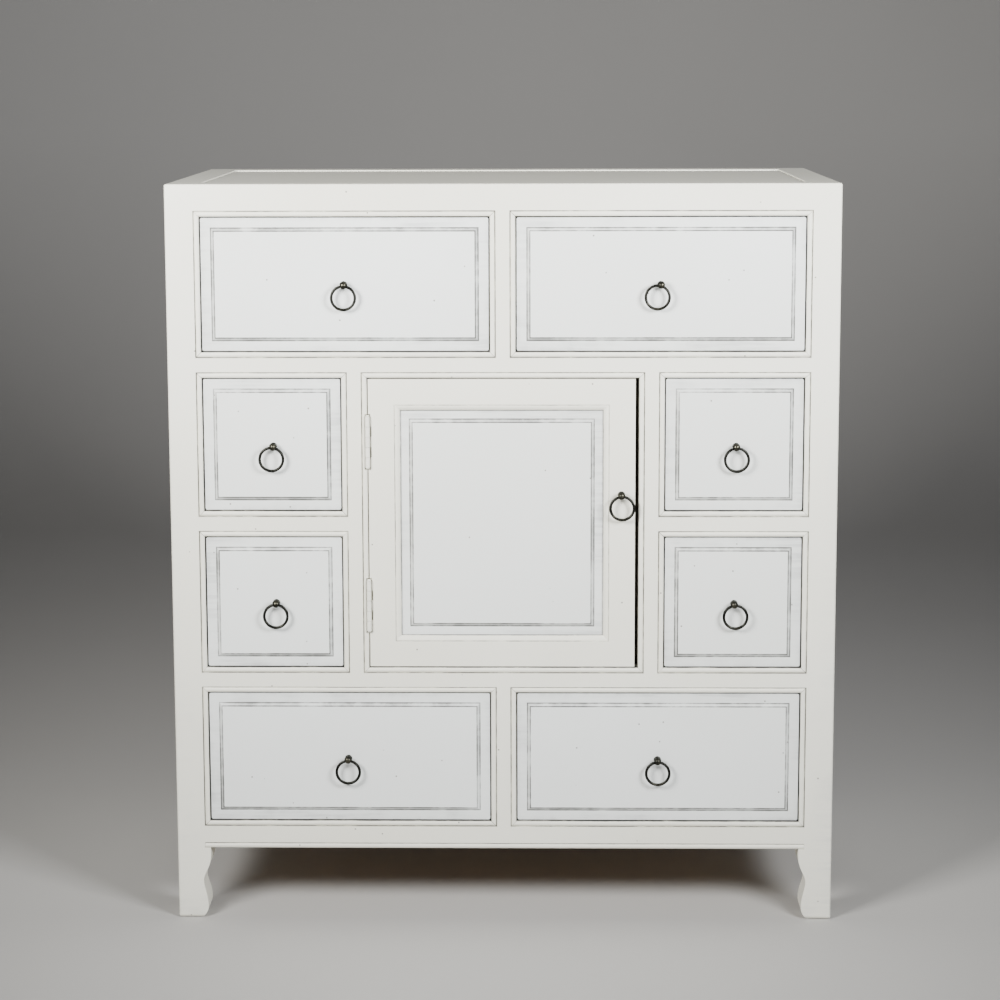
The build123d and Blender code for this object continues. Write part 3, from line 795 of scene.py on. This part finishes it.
class CABINET_OT_legs(Piece, bpy.types.Operator):
    """Four legs with carved feet and softened edges"""

    bl_idname = "cabinet.legs"
    bl_label = "Legs"

    def make(self, cabinet):
        foot_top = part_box("opening_beads")[0].z
        for node in LEGS:
            bm = merged_copy(node)
            smudge = layer(bm, "smudge")
            mitres = [e for e in sharp_edges(bm) if is_slanting(e) and e.verts[0].co.z > TOP / 2]
            for face in ease_edges(bm, mitres, HAIRLINE, 1)["faces"]:
                face.material_index = 1
            carved = [e for e in sharp_edges(bm) if max(v.co.z for v in e.verts) < foot_top + MM]
            ease_edges(bm, carved, 0.9 * MM, 2)
            # Darker towards the floor on the lower part of each foot.
            for vert in bm.verts:
                vert[smudge] = max(0.0, 0.55 - vert.co.z / foot_top)
            finished(bm, f"{node}_carved", "cabinet", [node], JOINTED)


class CABINET_OT_top(Piece, bpy.types.Operator):
    """Mitred top frame with its panel"""

    bl_idname = "cabinet.top"
    bl_label = "Top"

    def make(self, cabinet):
        bm = merged_copy("top_frame")
        mitres = [e for e in sharp_edges(bm) if is_slanting(e)]
        for face in ease_edges(bm, mitres, HAIRLINE, 1)["faces"]:
            face.material_index = 1
        arrises = [
            e for e in sharp_edges(bm, SQUARE)
            if not is_slanting(e) and all(abs(v.co.z - TOP) < WELD for v in e.verts)
        ]
        ease_edges(bm, arrises, 0.5 * MM, 2)
        for face in bm.faces:  # glaze held along the rear inner edge
            middle = face.calc_center_median()
            if face.normal.y < -0.5 and middle.y > 0 and middle.z > TOP - 2 * MM:
                face.material_index = 1
        piece = finished(bm, "top_frame_mitred", "cabinet", ["top_frame"], JOINTED)
        piece.modifiers.clear()
        piece.data.shade_flat()
        dress("top_panel", "frame_paint")


class CABINET_OT_carcass(Piece, bpy.types.Operator):
    """Paint on the rails, posts, dividers and side panels"""

    bl_idname = "cabinet.carcass"
    bl_label = "Painted carcass"

    def make(self, cabinet):
        for node in ("front_rails", "door_posts", "centre_dividers", "lower_rails", "side_panels"):
            dress(node, "frame_paint")


class CABINET_OT_beads(Piece, bpy.types.Operator):
    """Beads round the drawer and door openings and under the bottom rail"""

    bl_idname = "cabinet.beads"
    bl_label = "Beads"

    def make(self, cabinet):
        beads = cabinet.beads
        section = bead_section(beads)
        look = (beads.mitre_gap, beads.mitre_stain, 0.55)
        bm = bmesh.new()
        for name in DRAWERS:
            low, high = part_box(f"{name}_front")
            x = (low.x - beads.gap, high.x + beads.gap)
            z = (low.z - beads.gap, high.z + beads.gap)
            moulded_opening(bm, x, z, section, FACE, *look)
        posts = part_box("door_posts")
        z = (posts[0].z + beads.width, posts[1].z - beads.width)
        half = beads.hinge_gap - DOOR_LOW.x
        moulded_opening(bm, (-half, half), z, section, FACE, *look)
        low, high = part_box("opening_beads")
        moulded_side(bm, section, (low.x, low.z), (high.x, low.z), (0, 1), FACE, *look, lean=0)
        bmesh.ops.recalc_face_normals(bm, faces=bm.faces)
        piece = finished(
            bm, "opening_beads_moulded", "cabinet", ["opening_beads"], ["frame_paint"]
        )
        cut(piece, hinge_pockets())


def hinge_pockets():
    """Room round both hinge barrels."""
    bm = bmesh.new()
    clearance = 3.5 * MM  # from the pin's axis to the wall of the pocket
    over = 2.6 * MM  # room past each end of the barrel
    for low, high in barrel_spans():
        block(
            bm,
            (HINGE.x - clearance, HINGE.y - clearance, low - over),
            (HINGE.x + clearance, HINGE.y + 2 * clearance, high + over),
        )
        knuckle = (high - low) / KNUCKLES
        for step in range(1, KNUCKLES, 2):  # the door's own knuckles
            block(
                bm,
                (HINGE.x, HINGE.y - clearance, low + step * knuckle),
                (HINGE.x + 1.3 * clearance, HINGE.y + 2.5 * clearance, low + (step + 1) * knuckle),
            )
    return bm


def barrel_spans():
    """Lowest and highest point of each hinge's leaf."""
    points = sorted(v.co.z for v in frame["nodes"]["frame_hinge_leaves"].data.vertices)
    middle = (points[0] + points[-1]) / 2
    lower = [z for z in points if z < middle]
    upper = [z for z in points if z > middle]
    return ((lower[0], lower[-1]), (upper[0], upper[-1]))


class CABINET_OT_boards(Piece, bpy.types.Operator):
    """Bare boards of the inside and the back panel"""

    bl_idname = "cabinet.boards"
    bl_label = "Inner boards"

    def make(self, cabinet):
        for node in (
            "back_panel", "bottom_board", "dust_boards", "partitions", "drawer_guides", "door_shelf",
        ):
            eased_boards(node, f"{node}_planed", "cabinet", cabinet.wood.ease)
        # The door stops get darkened wood: painted shade in the gap beside the door.
        eased_boards("door_stops", "door_stops_planed", "cabinet", cabinet.wood.ease, SHADE_DARKENED)


class CABINET_OT_drawer_fronts(Piece, bpy.types.Operator):
    """Drawer fronts with raised fields"""

    bl_idname = "cabinet.drawer_fronts"
    bl_label = "Drawer fronts"

    def make(self, cabinet):
        fronts = cabinet.fronts
        for name in DRAWERS:
            node = f"{name}_front"
            low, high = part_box(node)
            size = (high.x - low.x, high.z - low.z)
            thickness = high.y - low.y - fronts.rise
            bm = raised_board(
                size, thickness, fronts.margin, fronts, fronts.outer_corner, fronts.ease
            )
            spot = Vector(((low.x + high.x) / 2, low.y + fronts.rise, (low.z + high.z) / 2))
            stood_at(bm, spot)
            finished(bm, f"{node}_raised", name, [node], ["front_paint"])


class CABINET_OT_drawer_boxes(Piece, bpy.types.Operator):
    """Sides, back and bottom of each drawer"""

    bl_idname = "cabinet.drawer_boxes"
    bl_label = "Drawer boxes"

    def make(self, cabinet):
        for name in DRAWERS:
            eased_boards(f"{name}_box", f"{name}_box_planed", name, cabinet.wood.ease)


class CABINET_OT_door(Piece, bpy.types.Operator):
    """Door frame with its moulding, and the raised panel"""

    bl_idname = "cabinet.door"
    bl_label = "Door"

    def section(self, door, thickness):
        """Section of the frame from its inner edge outwards, as (across, depth, glaze and painted
        shade).
        """
        member = door.flat + door.bead
        points = []
        quirk = 1.0 * MM
        count = 8
        run = door.bead - quirk
        for i in range(count + 1):
            step = run * (count - i) / count / MM
            depth = (1.0 + 0.035 * step + 0.0798 * step * step) * MM  # curves down to the panel
            # The inner edge where the moulding drops to the panel is dark: glaze in the crease, and
            # painted shade.
            stain = {0: 1.0, 1: 0.3, count: 0.3, count - 1: 0.1}.get(i, 0.0)
            points.append((run * i / count, depth, stain))
        points += [
            (run + 0.3 * quirk, 1.25 * MM, 0.5),
            (door.bead - 0.2 * quirk, 1.1 * MM, 0.5),
            (door.bead, 0.12 * MM, 0.2),
            (door.bead + 0.4 * MM, 0, 0.0),
            (member - 0.8 * MM, 0, 0.0),
            (member - 0.25 * MM, 0.2 * MM, 0.1),
            (member, 0.8 * MM, 0.3),
            (member, thickness, 0.0),
            (0, thickness, 0.0),
            (0, door.panel_depth + door.panel_edge, 0.0),
            (door.groove, door.panel_depth + door.panel_edge, 0.0),
            (door.groove, door.panel_depth, 0.0),
            # The inner wall is dark down to the panel: glaze in the crease, and painted shade.
            (0, door.panel_depth, 1.0),
        ]
        return points

    def make(self, cabinet):
        door = cabinet.door
        fronts = cabinet.fronts
        thickness = DOOR_HIGH.y - DOOR_LOW.y
        member = door.flat + door.bead
        x = (DOOR_LOW.x + member, DOOR_HIGH.x - member)
        z = (DOOR_LOW.z + member, DOOR_HIGH.z - member)
        bm = bmesh.new()
        section = self.section(door, thickness)
        moulded_opening(bm, x, z, section, DOOR_LOW.y, 0.0, 0.9 * MM, 0.0)
        bmesh.ops.remove_doubles(bm, verts=bm.verts, dist=WELD)
        bmesh.ops.recalc_face_normals(bm, faces=bm.faces)
        piece = finished(
            bm, "door_frame_moulded", "door", ["door_frame"], ["frame_paint"]
        )
        cut(piece, hinge_pockets())

        low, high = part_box("door_panel")
        size = (x[1] - x[0] + 2 * door.groove, z[1] - z[0] + 2 * door.groove)
        margin = fronts.door_margin + door.groove
        bm = raised_board(size, door.panel_edge, margin, fronts, outer_corner=0, ease=0)
        spot = Vector(((low.x + high.x) / 2, high.y - door.panel_edge, (low.z + high.z) / 2))
        stood_at(bm, spot)
        finished(bm, "door_panel_raised", "door", ["door_panel"], ["front_paint"])


class CABINET_OT_hinges(Piece, bpy.types.Operator):
    """Leaves, knuckles and pins of the two hinges"""

    bl_idname = "cabinet.hinges"
    bl_label = "Hinges"

    def make(self, cabinet):
        for node, body in (("frame_hinge_leaves", "cabinet"), ("door_hinge_leaves", "door")):
            bm = merged_copy(node)
            # Dark paint on the eased edges: dark joints, and painted shade in the gaps between the
            # knuckles.
            for face in ease_edges(bm, sharp_edges(bm, radians(50)), 0.5 * MM, 1)["faces"]:
                face.material_index = 1
            paints = ["hinge_paint", "joint_line"]
            finished(bm, f"{node}_eased", body, [node], paints)
        bm = bmesh.new()
        for low, high in barrel_spans():
            others = set(bm.verts)
            half = (high - low) / 2 + 0.3 * MM  # the heads stand a little off the barrel
            turned(bm, self.pin_profile(half), 24)
            spot = Vector((HINGE.x, HINGE.y, (low + high) / 2))
            made = [v for v in bm.verts if v not in others]
            bmesh.ops.translate(bm, vec=spot, verts=made)
        finished(bm, "hinge_pins_domed", "cabinet", ["hinge_pins"], ["hinge_paint"])

    def pin_profile(self, half):
        """Profile of a pin with a domed head at both ends, half its length from the middle."""
        rod, head, dome = 1.2 * MM, 2.2 * MM, 1.6 * MM
        angles = [radians(15 * i) for i in range(6)]
        curve = [(head * cos(t), half + dome * sin(t)) for t in angles] + [(0, half + dome)]
        return [(r, -h) for r, h in reversed(curve)] + [(rod, -half), (rod, half)] + curve


class CABINET_OT_catch(Piece, bpy.types.Operator):
    """Magnetic catch and its plate"""

    bl_idname = "cabinet.catch"
    bl_label = "Catch"

    def make(self, cabinet):
        for node, body, ease in (("door_catch", "cabinet", 1.0), ("catch_plate", "door", 0.25)):
            bm = merged_copy(node)
            ease_edges(bm, sharp_edges(bm), ease * MM)
            finished(bm, f"{node}_eased", body, [node], ["zinc_steel"])


def ring_joint(body):
    """Middle of a ball's hole and the direction of the hole."""
    joint = JOINTS[f"{body}_ring_swing"]
    return Vector(joint["pos_m"]), Vector(joint["axis"])


class CABINET_OT_pulls(Piece, bpy.types.Operator):
    """Ball, flange, shank and nut of each pull"""

    bl_idname = "cabinet.pulls"
    bl_label = "Pulls"

    def make(self, cabinet):
        pulls = cabinet.pulls
        for body in [*DRAWERS, "door"]:
            node = f"{body}_pull"
            hole, direction = ring_joint(body)
            spot = hole + pulls.drop * Vector((direction.z, 0, -direction.x))
            spot.y += pulls.reach
            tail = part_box(node)[1].y - spot.y
            thickness = tail - pulls.nut_height - 1.0 * MM
            neck_end = sqrt(pulls.ball**2 - pulls.neck**2)
            neck_angle = degrees(atan2(neck_end, pulls.neck))
            profile = [(0, -tail), (pulls.shank - 0.4 * MM, -tail), (pulls.shank, 0.4 * MM - tail)]
            profile += [(pulls.shank, 0), (pulls.flange - 0.2 * MM, 0), (pulls.flange, 0.25 * MM)]
            profile += [
                (pulls.flange, 0.7 * pulls.flange_height),
                (pulls.flange - 0.5 * MM, pulls.flange_height),
                (pulls.neck + 0.5 * MM, pulls.flange_height + 0.3 * MM),
                (pulls.neck, pulls.flange_height + 0.9 * MM),
            ]
            profile += arc((0, pulls.reach), pulls.ball, -neck_angle, 90, 18)
            profile[-1] = (0, pulls.reach + pulls.ball)
            bm = bmesh.new()
            turned(bm, profile, cabinet.steps)
            nut = bmesh.ops.create_cone(
                bm, cap_ends=True, segments=6, radius1=pulls.nut / sqrt(3),
                radius2=pulls.nut / sqrt(3), depth=pulls.nut_height,
            )["verts"]
            bmesh.ops.translate(bm, vec=(0, 0, -thickness - pulls.nut_height / 2), verts=nut)
            rims = [e for e in sharp_edges(bm) if all(v in nut for v in e.verts)]
            ease_edges(bm, rims, 0.25 * MM, 1)
            wear = layer(bm, "wear")
            # Brassy towards the front of the ball: rubbed wear and a painted highlight.
            for vert in bm.verts:
                vert[wear] = max(0.25, (vert.co.z - pulls.reach) / pulls.ball)
            turn = Matrix.Rotation(atan2(direction.z, -direction.x), 4, "Y")
            place = Matrix.Translation(spot) @ turn @ STANDING
            bmesh.ops.transform(bm, matrix=place, verts=bm.verts)
            piece = finished(bm, f"{node}_turned", body, [node], ["aged_bronze"])
            drill = bmesh.new()
            bmesh.ops.create_cone(
                drill, cap_ends=True, segments=32, radius1=pulls.hole, radius2=pulls.hole,
                depth=4 * pulls.ball,
            )
            across = direction.to_track_quat("Z", "Y").to_matrix().to_4x4()
            bmesh.ops.transform(drill, matrix=Matrix.Translation(hole) @ across, verts=drill.verts)
            cut(piece, drill)


class CABINET_OT_rings(Piece, bpy.types.Operator):
    """Rings that hang from the balls"""

    bl_idname = "cabinet.rings"
    bl_label = "Rings"

    def make(self, cabinet):
        pulls = cabinet.pulls
        for body in [*DRAWERS, "door"]:
            node = f"{body}_ring"
            low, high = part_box(node)
            middle = (low + high) / 2
            bm = bmesh.new()
            wear = layer(bm, "wear")
            made = bmesh.ops.create_circle(bm, segments=18, radius=pulls.wire)["verts"]
            bmesh.ops.rotate(bm, matrix=Matrix.Rotation(pi / 2, 3, "X"), verts=made)
            bmesh.ops.translate(bm, vec=(pulls.ring, 0, 0), verts=made)
            bmesh.ops.spin(
                bm, geom=bm.verts[:] + bm.edges[:], cent=(0, 0, 0), axis=(0, 0, 1), angle=2 * pi,
                steps=2 * cabinet.steps, use_merge=True,
            )
            bmesh.ops.remove_doubles(bm, verts=bm.verts, dist=WELD)
            bmesh.ops.recalc_face_normals(bm, faces=bm.faces)
            stood_at(bm, middle)
            bm.normal_update()
            for vert in bm.verts:
                lumps = noise.noise(vert.co * 160.0)
                from_middle = (vert.co - middle).normalized()
                vert[wear] = 0.15 + 0.35 * max(0.0, -from_middle.z)
                vert.co += vert.normal * (lumps - 0.5) * pulls.unevenness
            finished(bm, f"{node}_wire", node, [node], ["aged_bronze"])


# ---- Stage ----


class CABINET_OT_stage(bpy.types.Operator):
    """Pale floor, soft lights and the camera"""

    bl_idname = "cabinet.stage"
    bl_label = "Stage"
    bl_options = {"REGISTER", "UNDO"}

    def execute(self, context):
        stage = context.scene.apothecary_cabinet.stage
        self.floor(context, stage)
        warm, cool, plain = (1.0, 0.99, 0.965), (0.98, 0.99, 1.0), (1.0, 1.0, 1.0)
        self.light("left_light", (-1.05, -1.45, 1.22), (0, 0, 1.1), 0.6, stage.left, warm)
        self.light("right_light", (1.1, -1.45, 1.22), (0, 0, 1.1), 0.6, stage.right, cool)
        self.light("top_light", (0.2, 0.6, 3.2), (0, 0.1, 0.9), 2.0, stage.above, plain)
        world = bpy.data.worlds.new("surround")
        context.scene.world = world
        world.use_nodes = True
        background = world.node_tree.nodes["Background"]
        background.inputs["Color"].default_value = (0.93, 0.95, 1.0, 1)
        background.inputs["Strength"].default_value = stage.sky
        self.camera(context, stage)
        return {"FINISHED"}

    def floor(self, context, stage):
        """A floor that curves up into a wall well behind the cabinet."""
        bm = bmesh.new()
        near, start, radius, high, wide = -7.0, 2.2, 1.2, 5.0, 9.0
        profile = [(near, 0.0)]
        for i in range(13):
            angle = radians(90 * i / 12)
            profile.append((start + radius * sin(angle), radius - radius * cos(angle)))
        profile.append((start + radius, high))
        verts = [bm.verts.new((-wide, y, z)) for y, z in profile]
        edges = [bm.edges.new(pair) for pair in zip(verts, verts[1:])]
        swept = bmesh.ops.extrude_edge_only(bm, edges=edges)["geom"]
        moved = [g for g in swept if isinstance(g, bmesh.types.BMVert)]
        bmesh.ops.translate(bm, vec=(2 * wide, 0, 0), verts=moved)
        bmesh.ops.recalc_face_normals(bm, faces=bm.faces)
        if bm.faces[:][0].normal.z < 0:
            bmesh.ops.reverse_faces(bm, faces=bm.faces)
        mesh = bpy.data.meshes.new("studio_floor")
        bm.to_mesh(mesh)
        bm.free()
        mesh.shade_smooth()
        mesh.materials.append(floor_material(tuple(stage.floor_colour)))
        floor = bpy.data.objects.new("studio_floor", mesh)
        context.scene.collection.objects.link(floor)
        floor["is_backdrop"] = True

    def light(self, name, place, target, size, watts, tone):
        """A square soft light that faces the target."""
        data = bpy.data.lights.new(name, "AREA")
        data.energy = watts
        data.size = size
        data.spread = radians(105)
        data.color = tone
        lamp = bpy.data.objects.new(name, data)
        bpy.context.scene.collection.objects.link(lamp)
        lamp.location = place
        aim = Vector(target) - Vector(place)
        lamp.rotation_euler = aim.to_track_quat("-Z", "Y").to_euler()

    def camera(self, context, stage):
        """A camera in front of the cabinet, a little above its top."""
        yaw, pitch, roll = 0.01689, 0.13451, -0.00267
        data = bpy.data.cameras.new("camera")
        data.lens = stage.lens
        data.shift_y = -0.12
        data.clip_end = 50
        camera = bpy.data.objects.new("camera", data)
        context.scene.collection.objects.link(camera)
        level = Vector((-sin(yaw), cos(yaw), 0))
        side = Vector((cos(yaw), sin(yaw), 0))
        ahead = cos(pitch) * level - sin(pitch) * Vector((0, 0, 1))
        upward = sin(pitch) * level + cos(pitch) * Vector((0, 0, 1))
        right = cos(roll) * side + sin(roll) * upward
        above = cos(roll) * upward - sin(roll) * side
        place = Vector((0.04324, FACE - 2.75686, 1.04085))
        axes = Matrix((right, above, -ahead)).transposed()
        camera.matrix_world = Matrix.Translation(place) @ axes.to_4x4()
        context.scene.camera = camera


# ---- Add-on ----

PIECES = (
    CABINET_OT_legs, CABINET_OT_top, CABINET_OT_carcass, CABINET_OT_beads, CABINET_OT_boards,
    CABINET_OT_drawer_fronts, CABINET_OT_drawer_boxes, CABINET_OT_door, CABINET_OT_hinges,
    CABINET_OT_catch, CABINET_OT_pulls, CABINET_OT_rings, CABINET_OT_stage,
)
SETTINGS = (
    BeadSettings, FrontSettings, DoorSettings, PullSettings, PaintSettings, WoodSettings,
    MetalSettings, StageSettings, CabinetSettings,
)


class CABINET_PT_panel(bpy.types.Panel):
    """Every piece of the cabinet, and its settings"""

    bl_label = "Apothecary Cabinet"
    bl_idname = "CABINET_PT_panel"
    bl_space_type = "VIEW_3D"
    bl_region_type = "UI"
    bl_category = "Cabinet"

    def draw(self, context):
        column = self.layout.column()
        for operator in PIECES:
            column.operator(operator.bl_idname)
        cabinet = context.scene.apothecary_cabinet
        for group in ("beads", "fronts", "door", "pulls", "paint", "wood", "metal", "stage"):
            box = column.box()
            box.label(text=group.capitalize())
            settings = getattr(cabinet, group)
            for name in settings.__annotations__:
                box.prop(settings, name)


def register():
    for each in (*SETTINGS, *PIECES, CABINET_PT_panel):
        bpy.utils.register_class(each)
    bpy.types.Scene.apothecary_cabinet = PointerProperty(type=CabinetSettings)


def unregister():
    del bpy.types.Scene.apothecary_cabinet
    for each in reversed((*SETTINGS, *PIECES, CABINET_PT_panel)):
        bpy.utils.unregister_class(each)


def main():
    register()
    for operator in PIECES:
        group, name = operator.bl_idname.split(".")
        getattr(getattr(bpy.ops, group), name)()
    boxes = {"cad": CAD_BOX, "visual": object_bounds()}
    {key: [list(corner) for corner in box] for key, box in boxes.items()}


if __name__ == "__main__":
    main()
